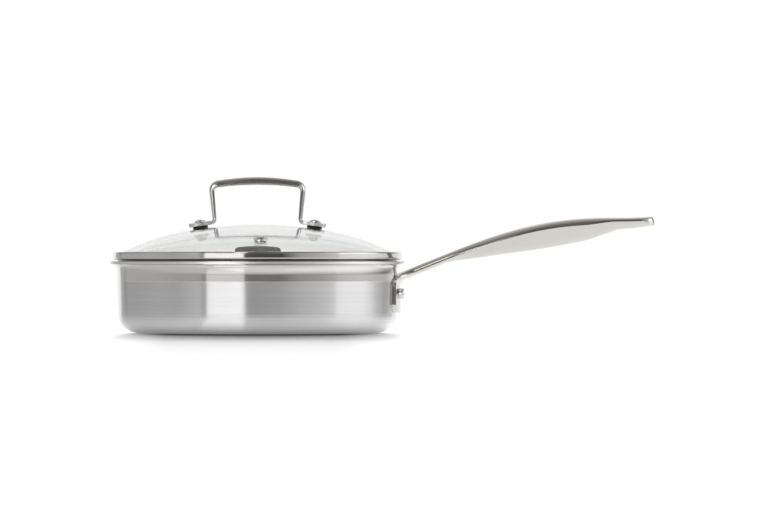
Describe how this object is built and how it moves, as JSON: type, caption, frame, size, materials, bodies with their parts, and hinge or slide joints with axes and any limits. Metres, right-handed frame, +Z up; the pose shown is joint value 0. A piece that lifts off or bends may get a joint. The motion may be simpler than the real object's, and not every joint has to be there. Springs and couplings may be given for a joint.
{
  "type": "saute pan with lid",
  "caption": "Straight-sided stainless steel saute pan with a long riveted steel handle and a domed glass lid that has a steel band, a steel strap handle and a steam vent.",
  "frame": {"origin": "middle of the flat base, on its underside", "axes": "+Z up; +X along the long handle, away from the pan; the lid's steam vent faces -Y"},
  "size_m": [0.4759, 0.257, 0.1363],
  "materials": {
    "satin_steel": "brushed round the pan",
    "core_aluminium": "bare sheet",
    "handle_steel": "fine satin, almost polished",
    "polished_steel": "polished",
    "lid_glass": "clear, faintly green at its edge",
    "black_silicone": "matte"
  },
  "bodies": {
    "pan": {"outer_skin": "satin_steel", "aluminium_core": "core_aluminium", "inner_liner": "satin_steel", "long_handle": "handle_steel", "front_handle_rivet": "polished_steel", "back_handle_rivet": "polished_steel"},
    "lid": {"lid_glass": "lid_glass", "lid_band": "polished_steel", "lid_handle": "polished_steel", "left_pad": "black_silicone", "right_pad": "black_silicone", "left_bolt": "polished_steel", "right_bolt": "polished_steel", "left_washer": "black_silicone", "right_washer": "black_silicone", "left_cap_nut": "polished_steel", "right_cap_nut": "polished_steel", "vent_eyelet": "polished_steel", "vent_seal": "black_silicone"}
  },
  "joints": [
    {"name": "lid_lift", "type": "slide", "parent": "pan", "child": "lid", "axis": [0, 0, 1], "range_m": [0, 0.15]}
  ]
}
